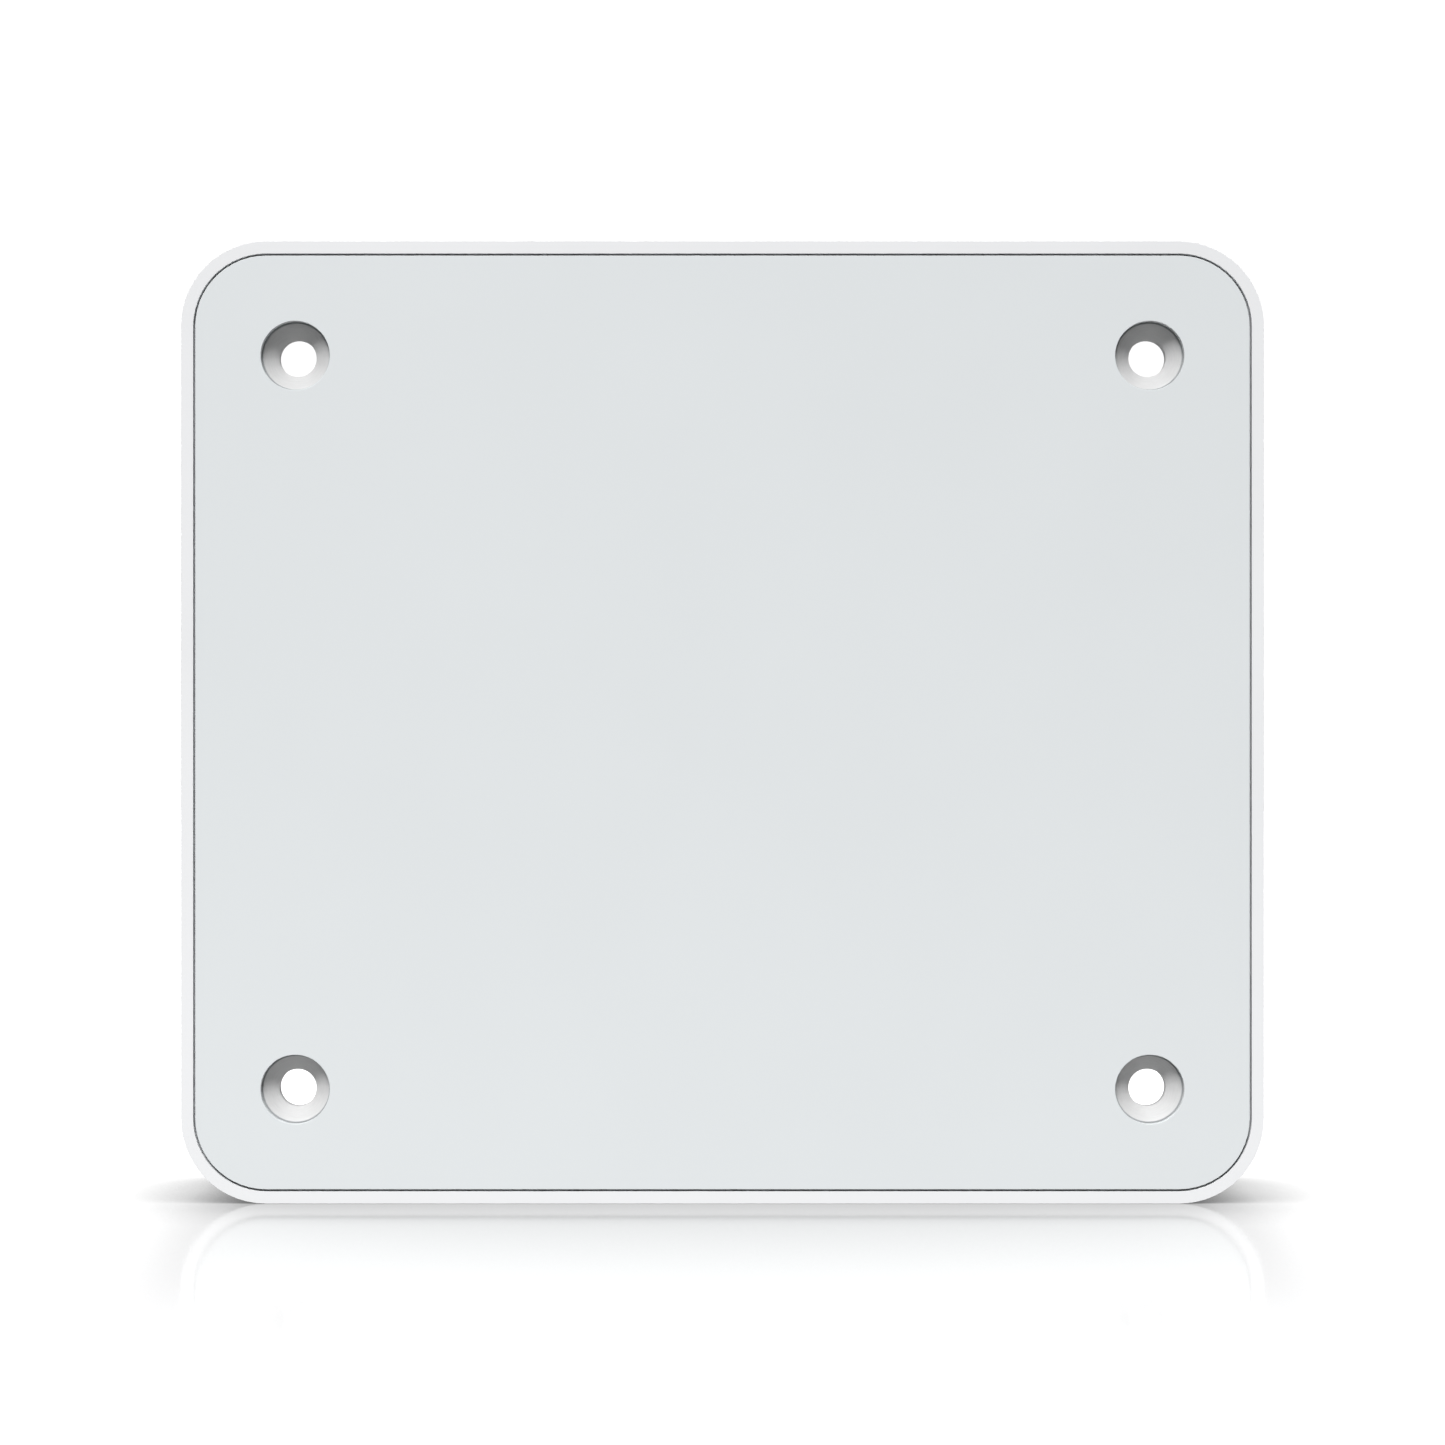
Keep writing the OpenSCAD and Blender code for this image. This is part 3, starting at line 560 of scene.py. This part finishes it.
def dress_nodes():
    """Finishes and edge radii, in millimetres, of the CAD nodes that are shown as they are."""
    looks = {
        "front_shell": ("white_case", 0.18),
        "face_panel": ("face_panel", 0.06),
        "panel_film": ("adhesive_film", 0.02),
        "rear_cover": ("cover_plate", 0.25),
        "rating_label": ("blank_label", 0.02),
        "bay_tub": ("bay_plastic", 0.25),
        "jack_shield": ("tinned_sheet", 0.06),
        "jack_insert": ("jack_plastic", 0.12),
        "jack_contacts": ("gold_wire", 0.05),
        "cover_screws": ("zinc_screw", 0.06),
        "board_posts": ("turned_steel", 0.15),
        "board_standoffs": ("brass_standoff", 0.12),
        "plate_screws": ("zinc_screw", 0.12),
        "reset_switch": ("switch_plastic", 0.10),
        "reset_button": ("key_plastic", 0.15),
        "light_pipe": ("clear_acrylic", 0.15),
        "main_board": ("board_laminate", 0.05),
        "antenna_plate": ("plate_sheet", 0.08),
        "processor_shield_frame": ("tinned_sheet", 0.03),
        "processor_shield_lid": ("shield_can", 0.07),
    }
    for i in (1, 2):
        looks[f"radio_shield_frame_{i}"] = ("tinned_sheet", 0.03)
        looks[f"radio_shield_lid_{i}"] = ("shield_can", 0.07)
    for i in (1, 2, 3):
        looks[f"heat_block_{i}"] = ("block_metal", 0.35)
    for i in (1, 2, 3, 4):
        looks[f"screw_sleeve_{i}"] = ("sleeve_plastic", 0.20)
        looks[f"coax_socket_{i}"] = ("gold_socket", 0.05)
        looks[f"antenna_{i}"] = ("antenna_sheet", 0.05)
    for node, (finish, edge) in looks.items():
        dress(node, finish, edge * MM)


# ---------------------------------------------------------------- mesh building

class Shape:
    """Gathers closed solids into one mesh. Each solid has a finish."""

    def __init__(self):
        self.points, self.faces, self.marks, self.finishes = [], [], [], []

    def loft(self, loops, finish):
        """Skins a row of loops that have the same number of points, and caps both ends."""
        if finish not in self.finishes:
            self.finishes.append(finish)
        start, count = len(self.points), len(loops[0])
        for loop in loops:
            self.points.extend(tuple(p) for p in loop)
        made = [[start + k for k in range(count)],
                [start + (len(loops) - 1) * count + k for k in reversed(range(count))]]
        for row in range(len(loops) - 1):
            a = start + row * count
            made += [[a + k, a + count + k, a + count + (k + 1) % count, a + (k + 1) % count]
                     for k in range(count)]
        self.faces += made
        self.marks += [self.finishes.index(finish)] * len(made)

    def block(self, low, high, finish):
        x0, z0, x1, z1 = low[0], low[2], high[0], high[2]
        self.loft([[(x0, y, z0), (x1, y, z0), (x1, y, z1), (x0, y, z1)] for y in (low[1], high[1])], finish)

    def stack(self, x, z, layers, finish, corner=0.0):
        """A solid of rectangles with corner radius corner, each as (y, width, height)."""
        self.loft([rounded(x, z, w, h, y, corner) for y, w, h in layers], finish)

    def lathe(self, origin, axis, profile, finish, sides=32):
        """Turns (radius, height) pairs about an axis. No radius is 0."""
        turn = Vector(axis).to_track_quat("Z", "Y").to_matrix()
        ring = [(math.cos(t), math.sin(t)) for t in (2 * math.pi * k / sides for k in range(sides))]
        self.loft([[Vector(origin) + turn @ Vector((r * c, r * s, h)) for c, s in ring]
                   for r, h in profile], finish)

    def tube(self, path, radius, finish, sides=14):
        """A round tube along a smooth path, its rings carried along without twisting."""
        side = Vector((0, 1, 0.01))
        loops = []
        for i, p in enumerate(path):
            ahead = (path[min(i + 1, len(path) - 1)] - path[max(i - 1, 0)]).normalized()
            side = (side - ahead * side.dot(ahead)).normalized()
            other = ahead.cross(side)
            loops.append([p + radius * (math.cos(t) * side + math.sin(t) * other)
                          for t in (2 * math.pi * k / sides for k in range(sides))])
        self.loft(loops, finish)

    def place(self, name, slot, nodes=(), edge=0.05 * MM, segments=2):
        """Makes the object, in the case's body, standing for the CAD nodes named."""
        mesh = bpy.data.meshes.new(name)
        mesh.from_pydata(self.points, [], self.faces)
        for finish in self.finishes:
            mesh.materials.append(FINISH[finish])
        mesh.polygons.foreach_set("material_index", self.marks)
        work = bmesh.new()
        work.from_mesh(mesh)
        bmesh.ops.recalc_face_normals(work, faces=work.faces)
        for face in work.faces:
            face.smooth = True
        work.to_mesh(mesh)
        work.free()
        o = bpy.data.objects.new(name, mesh)
        bpy.context.scene.collection.objects.link(o)
        soften(o, edge, segments)
        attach(o, CASE)
        if nodes:
            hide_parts(*nodes)
        return o


def rounded(x, z, w, h, y, corner=0.0, steps=5):
    """A rectangle's outline at depth y, with round corners."""
    if corner <= 0:
        return [(x + sx * w / 2, y, z + sz * h / 2) for sx, sz in ((1, 1), (-1, 1), (-1, -1), (1, -1))]
    points = []
    for quarter, (sx, sz) in enumerate(((1, 1), (-1, 1), (-1, -1), (1, -1))):
        for k in range(steps + 1):
            t = math.pi / 2 * (quarter + k / steps)
            points.append((x + sx * (w / 2 - corner) + corner * math.cos(t), y,
                           z + sz * (h / 2 - corner) + corner * math.sin(t)))
    return points


def measures(node):
    """A board part's middle in x and z, width, height, the board's surface y and its own top y."""
    low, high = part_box(node)
    return (low.x + high.x) / 2, (low.z + high.z) / 2, high.x - low.x, high.z - low.z, low.y, high.y


# ---------------------------------------------------------------- board parts

def ball_grid_chip(node, mould_share=1.0, pitch=0.8 * MM, rings=2):
    """A moulded chip on a thin laminate over rings of solder balls, with a pin-one mark."""
    x, z, w, h, base, top = measures(node)
    ball, laminate, draft = 0.25 * MM, 0.26 * MM, 0.12 * MM
    s = Shape()
    seat = base + ball
    s.stack(x, z, [(seat, w, h), (seat + laminate, w, h)], "substrate", 0.15 * MM)
    mw, mh = w * mould_share - 0.04 * MM, h * mould_share - 0.04 * MM
    s.stack(x, z, [(seat + laminate, mw, mh), (top, mw - draft, mh - draft)], "chip_resin", 0.25 * MM)
    mark = Vector((x - mw / 2 + 1.1 * MM, top, z + mh / 2 - 1.1 * MM))
    s.lathe(mark, (0, 1, 0), [(0.30 * MM, -0.02 * MM), (0.30 * MM, 0.012 * MM), (0.22 * MM, 0.012 * MM),
                              (0.20 * MM, 0.0)], "substrate", 20)
    across, up = int((w - 1.0 * MM) / pitch), int((h - 1.0 * MM) / pitch)
    for i in range(across + 1):
        for j in range(up + 1):
            if min(i, across - i, j, up - j) >= rings:
                continue
            spot = (x + (i - across / 2) * pitch, base, z + (j - up / 2) * pitch)
            round_ball = [(0.13 * MM, 0), (0.21 * MM, ball / 2), (0.13 * MM, ball)]
            s.lathe(spot, (0, 1, 0), round_ball, "solder", 8)
    return s.place(node + "_package", "chip_resin", [node], 0.03 * MM)


def flat_pad_chip(node, pads=14):
    """A flat no-lead chip whose tinned pads show along its four edges."""
    x, z, w, h, base, top = measures(node)
    s = Shape()
    s.stack(x, z, [(base + 0.03 * MM, w, h), (top - 0.08 * MM, w, h),
                   (top, w - 0.16 * MM, h - 0.16 * MM)], "chip_resin", 0.1 * MM)
    s.block((x - w * 0.3, base, z - h * 0.3), (x + w * 0.3, base + 0.05 * MM, z + h * 0.3), "solder")
    step = (w - 1.6 * MM) / (pads - 1)
    for k in range(pads):
        along = (k - (pads - 1) / 2) * step
        for sign in (-1, 1):
            for px, pz, hw, hh in ((x + along, z + sign * (h / 2 - 0.2 * MM), 0.14 * MM, 0.24 * MM),
                                   (x + sign * (w / 2 - 0.2 * MM), z + along, 0.24 * MM, 0.14 * MM)):
                s.block((px - hw, base, pz - hh), (px + hw, base + 0.22 * MM, pz + hh), "solder")
    s.lathe((x - w / 2 + 1.2 * MM, top, z + h / 2 - 1.2 * MM), (0, 1, 0),
            [(0.4 * MM, -0.02 * MM), (0.4 * MM, 0.012 * MM), (0.3 * MM, 0.0)], "substrate", 24)
    return s.place(node + "_package", "chip_resin", [node], 0.02 * MM)


def gull_wing_part(node, slot, leads, pitch, reach, lead_w, resin):
    """A moulded body with a row of bent leads along its top and bottom edges."""
    x, z, w, h, base, top = measures(node)
    tall = top - base
    lift, sheet = 0.1 * MM, 0.16 * MM
    body_h = h - 2 * reach
    mid = base + tall * 0.45
    draft = min(0.25 * MM, tall * 0.12)
    s = Shape()
    s.stack(x, z, [(base + lift, w - draft, body_h - draft), (mid, w, body_h),
                   (top, w - draft, body_h - draft)], resin, 0.12 * MM)
    for k in range(leads):
        lx = x + (k - (leads - 1) / 2) * pitch
        for sign in (-1, 1):
            edge = z + sign * body_h / 2
            line = [(edge - sign * 0.3 * MM, mid), (edge + sign * reach * 0.35, mid),
                    (edge + sign * reach * 0.55, base + sheet), (z + sign * h / 2, base + sheet)]
            lower = [(a, max(base, b - sheet)) for a, b in line]
            outline = line + lower[::-1]
            s.loft([[(lx + dx, b, a) for a, b in outline] for dx in (-lead_w / 2, lead_w / 2)], "solder")
    s.lathe((x - w / 2 + 0.9 * MM, top, z - body_h / 2 + 0.9 * MM), (0, 1, 0),
            [(0.35 * MM, -0.02 * MM), (0.35 * MM, 0.012 * MM), (0.25 * MM, 0.0)], "substrate", 20)
    return s.place(node + "_package", slot, [node], 0.03 * MM)


def power_transformer(node):
    """Two ferrite halves around a taped winding on a bobbin that has five pins on each side."""
    x, z, w, h, base, top = measures(node)
    s = Shape()
    foot = base + 1.1 * MM
    s.stack(x, z, [(base + 0.25 * MM, 14 * MM, h), (foot, 14 * MM, h)], "bobbin", 0.5 * MM)
    s.stack(x, z, [(top - 2.3 * MM, 7.6 * MM, h - 0.4 * MM), (top - 2.9 * MM, 7.6 * MM, h - 0.4 * MM)],
            "bobbin", 0.4 * MM)
    low_y, high_y = foot + 1.0 * MM, top - 2.9 * MM
    turns = 7
    layers = []
    for k in range(turns * 2 + 1):
        swell = 0.16 * MM if k % 2 else 0.0
        y = low_y + (high_y - low_y) * k / (turns * 2)
        layers.append((y, 7.2 * MM + swell, h - 1.4 * MM + swell))
    s.stack(x, z, layers, "tape", 1.6 * MM)
    seam = (foot + top) / 2
    for a, b in ((foot, seam - 0.03 * MM), (seam + 0.03 * MM, top)):
        for sign in (-1, 1):
            edge = x + sign * w / 2
            s.block((min(edge, edge - sign * 3.2 * MM), a, z - 3 * MM),
                    (max(edge, edge - sign * 3.2 * MM), b, z + 3 * MM), "ferrite_core")
    s.block((x - w / 2, top - 2.2 * MM, z - 3 * MM), (x + w / 2, top, z + 3 * MM), "ferrite_core")
    s.block((x - w / 2, foot, z - 3 * MM), (x + w / 2, foot + 0.9 * MM, z + 3 * MM), "ferrite_core")
    for k in range(5):
        for sign in (-1, 1):
            spot = Vector((x + (k - 2) * 2.5 * MM, base, z + sign * (h / 2 - 0.9 * MM)))
            s.lathe(spot, (0, 1, 0), [(0.55 * MM, 0), (0.42 * MM, 0.15 * MM), (0.3 * MM, 0.35 * MM)],
                    "solder", 12)
    return s.place("power_transformer_detail", "ferrite_core", [node], 0.12 * MM)


def can_capacitor(node):
    """An aluminium can in a shrunk sleeve, with a crimp ring, a scored vent and a rubber bung."""
    x, z, w, _, base, top = measures(node)
    r = w / 2
    tall = top - base
    spot = (x, base, z)
    s = Shape()
    s.lathe(spot, (0, 1, 0), [(r * 0.80, 0), (r * 0.80, 0.5 * MM)], "rubber", 40)
    s.lathe(spot, (0, 1, 0), [(r * 0.86, 0.25 * MM), (r * 0.97, 0.35 * MM), (r, 0.7 * MM), (r, 1.2 * MM),
                              (r * 0.93, 1.55 * MM), (r * 0.93, 1.75 * MM), (r, 2.1 * MM),
                              (r, tall - 0.5 * MM), (r * 0.97, tall - 0.14 * MM),
                              (r * 0.90, tall - 0.02 * MM),
                              (r * 0.84, tall), (r * 0.82, tall - 0.06 * MM), (r * 0.82, tall - 0.35 * MM)],
            "capacitor_sleeve", 48)
    s.lathe(spot, (0, 1, 0), [(r * 0.815, tall - 0.4 * MM), (r * 0.815, tall - 0.08 * MM),
                              (r * 0.76, tall - 0.04 * MM), (r * 0.70, tall - 0.12 * MM)], "can_metal", 48)
    score = tall - 0.12 * MM
    for turn in range(3):
        t = math.pi * turn / 3
        along = Vector((math.cos(t), 0, math.sin(t)))
        aside = Vector((-math.sin(t), 0, math.cos(t)))
        loop = [along * r * 0.5 + aside * 0.07 * MM, along * -r * 0.5 + aside * 0.07 * MM,
                along * -r * 0.5 - aside * 0.07 * MM, along * r * 0.5 - aside * 0.07 * MM]
        s.loft([[Vector(spot) + p + Vector((0, y, 0)) for p in loop]
                for y in (score - 0.05 * MM, score + 0.04 * MM)], "can_metal")
    stripe = math.radians(35)
    points = [(math.cos(stripe * (k / 8 - 0.5)), math.sin(stripe * (k / 8 - 0.5))) for k in range(9)]
    outline = [(c * (r + 0.015 * MM), q * (r + 0.015 * MM)) for c, q in points]
    outline += [(c * (r - 0.1 * MM), q * (r - 0.1 * MM)) for c, q in reversed(points)]
    s.loft([[(x + a, y, z + b) for a, b in outline] for y in (base + 2.3 * MM, base + tall - 0.7 * MM)],
           "can_metal")
    return s.place(node + "_can", "capacitor_sleeve", [node], 0.02 * MM)


def moulded_inductor(node):
    """A pressed powder block with two flat terminals folded under it."""
    x, z, w, h, base, top = measures(node)
    s = Shape()
    s.stack(x, z, [(base + 0.15 * MM, w - 0.9 * MM, h - 0.3 * MM), (base + 0.6 * MM, w - 0.5 * MM, h),
                   (top - 0.5 * MM, w - 0.5 * MM, h), (top, w - 1.1 * MM, h - 0.7 * MM)],
            "inductor_resin", 0.5 * MM)
    for sign in (-1, 1):
        outer = x + sign * w / 2
        wrap = [(outer - sign * 1.8 * MM, base), (outer, base), (outer, base + 1.6 * MM),
                (outer - sign * 0.25 * MM, base + 1.6 * MM), (outer - sign * 0.25 * MM, base + 0.25 * MM),
                (outer - sign * 1.8 * MM, base + 0.25 * MM)]
        s.loft([[(a, b, z + dz) for a, b in wrap] for dz in (-1.5 * MM, 1.5 * MM)], "solder")
    return s.place(node + "_moulding", "inductor_resin", [node], 0.06 * MM)


def lamp(node):
    """A surface-mounted light: a white cup of clear resin between two tinned ends."""
    x, z, w, h, base, top = measures(node)
    s = Shape()
    cup = base + 0.3 * MM
    s.stack(x, z, [(base, w - 0.5 * MM, h), (cup, w - 0.5 * MM, h)], "sleeve_plastic", 0.05 * MM)
    s.stack(x, z, [(cup, w - 0.6 * MM, h - 0.1 * MM), (top - 0.08 * MM, w - 0.75 * MM, h - 0.2 * MM),
                   (top, w - 1.0 * MM, h - 0.45 * MM)], "led_resin", 0.2 * MM)
    for sign in (-1, 1):
        outer = x + sign * w / 2
        s.block((min(outer, outer - sign * 0.35 * MM), base, z - h / 2),
                (max(outer, outer - sign * 0.35 * MM), base + 0.32 * MM, z + h / 2), "solder")
    return s.place("status_lamp", "led_resin", [node], 0.03 * MM)


def heat_pad(node):
    """A soft silicone pad, pressed so that its edges bulge a little unevenly."""
    x, z, w, h, base, top = measures(node)
    s = Shape()
    rows = 7
    layers = []
    for k in range(rows + 1):
        t = k / rows
        squeeze = 1.2 * MM * (1 - 4 * (t - 0.5) ** 2) * 0.5
        layers.append((base + (top - base) * t, w - 0.8 * MM + squeeze, h - 0.8 * MM + squeeze))
    s.stack(x, z, layers, "thermal_gel", 1.5 * MM)
    return s.place(node + "_soft", "thermal_gel", [node], 0.05 * MM)


# The leads' routes, as [x, depth, z] in millimetres on the right-hand side, as in the part's own source.
SHORT_LEAD = [[12, 19.4, 29.6], [12, 19.4, 27], [14, 19.5, 24], [18, 19.6, 24], [21, 19.8, 27],
              [22, 20.6, 31], [22, 22.6, 33.4], [22, 23.2, 35.3]]
LONG_LEAD = [[28, 19.4, 29.6], [28, 19.4, 26], [30, 19.5, 20], [36, 19.6, 14], [40, 19.8, 6],
             [43, 20.3, 0], [44.6, 21.8, -2.6], [46.5, 23.4, -4]]


def smooth_path(points, steps=10):
    """A curve through the points, as the CAD source draws it, with steps points in each stretch."""
    path = []
    for i in range(len(points) - 1):
        a, b, c, e = points[max(i - 1, 0)], points[i], points[i + 1], points[min(i + 2, len(points) - 1)]
        for k in range(steps):
            t = k / steps
            path.append(0.5 * (2 * b + (c - a) * t + (2 * a - 5 * b + 4 * c - e) * t * t
                               + (3 * b - a - 3 * c + e) * t ** 3))
    return path + [points[-1]]


def coax_lead(i):
    """A thin screened lead: gold snap-on plug with a crimped barrel, jacket, and a soldered end."""
    sign = -1 if i % 2 else 1
    route = [Vector((sign * x, -d, z)) * MM for x, d, z in (LONG_LEAD if i > 2 else SHORT_LEAD)]
    s = Shape()
    path = smooth_path(route)
    s.tube(path, 0.55 * MM, "lead_jacket")
    ahead = (path[-1] - path[-3]).normalized()
    s.tube([path[-1] - ahead * 0.6 * MM, path[-1] + ahead * 0.05 * MM], 0.40 * MM, "gold_socket")
    socket_low, socket_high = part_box(f"coax_socket_{i}")
    middle = (socket_low + socket_high) / 2
    face = Vector((middle.x, socket_low.y, middle.z))
    s.lathe(face, (0, -1, 0), [(1.22 * MM, 0), (1.42 * MM, 0.12 * MM), (1.5 * MM, 0.3 * MM),
                               (1.5 * MM, 0.85 * MM), (1.38 * MM, 1.0 * MM), (1.15 * MM, 1.05 * MM),
                               (1.05 * MM, 1.1 * MM),
                               (0.6 * MM, 1.1 * MM), (0.5 * MM, 1.06 * MM)], "gold_socket", 40)
    barrel = face + Vector((0, -0.6 * MM, -1.0 * MM))
    s.lathe(barrel, (0, 0, -1), [(0.72 * MM, 0), (0.80 * MM, 0.2 * MM), (0.80 * MM, 0.8 * MM),
                                 (0.66 * MM, 0.95 * MM), (0.66 * MM, 1.15 * MM), (0.80 * MM, 1.3 * MM),
                                 (0.80 * MM, 1.9 * MM), (0.66 * MM, 2.05 * MM), (0.66 * MM, 2.2 * MM),
                                 (0.76 * MM, 2.3 * MM), (0.72 * MM, 2.4 * MM)], "gold_socket", 28)
    return s.place(f"coax_lead_{i}_smooth", "lead_jacket", [f"coax_lead_{i}"], 0.03 * MM)


def board_obstacles(low, high):
    """The boxes of what stands on the board, each with its side: 1 is the back and -1 the front."""
    flat = ("main_board", "front_shell", "face_panel", "panel_film", "rear_cover", "antenna_plate",
            "plate_screws", "cover_screws", "rating_label")
    corner_groups, foot = ("board_posts", "board_standoffs"), 7 * MM
    near_back, near_front, least = 1.2 * MM, 0.4 * MM, 0.01 * MM
    found = []
    for node in NODES:
        if node in flat or node.startswith("antenna_"):
            continue
        a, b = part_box(node)
        spots = [(a, b)]
        if node in corner_groups:
            spots = [(Vector((x, a.y, z)), Vector((x + foot, b.y, z + foot)))
                     for x in (a.x, b.x - foot) for z in (a.z, b.z - foot)]
        if a.y < high.y + near_back and b.y > high.y + least:
            found += [(1, *spot) for spot in spots]
        if b.y > low.y - near_front and a.y < low.y - least:
            found += [(-1, *spot) for spot in spots]
    return found


def end_capped_chip(s, x, z, surface, side, kind, turned):
    """A chip resistor or capacitor, with solder on both ends, that lies along x, or along z if turned."""
    length, width, tall = (v * MM for v in {"ceramic": (1.6, 0.8, 0.8), "resistor": (1.6, 0.8, 0.45)}[kind])
    cap, proud = 0.36 * MM, 0.02 * MM
    stretches = ((-length / 2 + cap, length / 2 - cap, 0, kind),
                 (-length / 2, -length / 2 + cap, proud, "solder"),
                 (length / 2 - cap, length / 2, proud, "solder"))
    for start, end, extra, finish in stretches:
        y0, y1 = sorted((surface, surface + side * (tall + extra)))
        if turned:
            s.block((x - width / 2, y0, z + start), (x + width / 2, y1, z + end), finish)
        else:
            s.block((x + start, y0, z - width / 2), (x + end, y1, z + width / 2), finish)


def small_parts():
    """Rows of chip resistors and capacitors, many on the board's back and few on its front, clear of
    everything else."""
    low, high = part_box("main_board")
    dice = random.Random(7)
    taken = board_obstacles(low, high)
    s = Shape()
    pitch_x, pitch_z, clear, border = 2.4 * MM, 1.9 * MM, 1.4 * MM, 2 * MM
    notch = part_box("screw_sleeve_4")[0] - Vector((1, 0, 1)) * 3 * MM
    for side, surface, share in ((1, high.y, 0.62), (-1, low.y, 0.20)):
        for i in range(int((high.x - low.x) / pitch_x)):
            for j in range(int((high.z - low.z) / pitch_z)):
                x, z = low.x + (i + 0.5) * pitch_x, low.z + (j + 0.5) * pitch_z
                kind = dice.choice(("ceramic", "resistor"))
                turned = dice.random() < 0.5
                wanted = dice.random() < share
                in_notch = abs(x) > notch.x and abs(z) > notch.z
                at_edge = abs(x) > high.x - border or abs(z) > high.z - border
                if not wanted or in_notch or at_edge:
                    continue
                if any(mark == side and a.x - clear < x < b.x + clear and a.z - clear < z < b.z + clear
                       for mark, a, b in taken):
                    continue
                end_capped_chip(s, x, z, surface, side, kind, turned)
    return s.place("small_board_parts", "board_laminate", (), 0.05 * MM, 1)


def build_details():
    """The pieces that stand for plain CAD solids, and the small parts that the CAD leaves out."""
    ball_grid_chip("processor", mould_share=0.86)
    for i in (1, 2):
        ball_grid_chip(f"memory_chip_{i}", rings=1)
        flat_pad_chip(f"radio_chip_{i}")
        moulded_inductor(f"power_inductor_{i}")
    gull_wing_part("flash_chip", "chip_resin", 4, 1.27 * MM, 0.9 * MM, 0.42 * MM, "chip_resin")
    gull_wing_part("lan_transformer", "moulded_magnetics", 12, 1.2 * MM, 0.7 * MM, 0.45 * MM,
                   "moulded_magnetics")
    power_transformer("poe_transformer")
    lamp("status_led")
    for i in (1, 2, 3):
        can_capacitor(f"bulk_capacitor_{i}")
        heat_pad(f"thermal_pad_{i}")
    for i in (1, 2, 3, 4):
        coax_lead(i)
    small_parts()


# ---------------------------------------------------------------- scene

FINISH = make_materials()
make_camera()
make_lights()
make_room()
make_floor()
dress_nodes()
build_details()

bpy.context.view_layer.update()
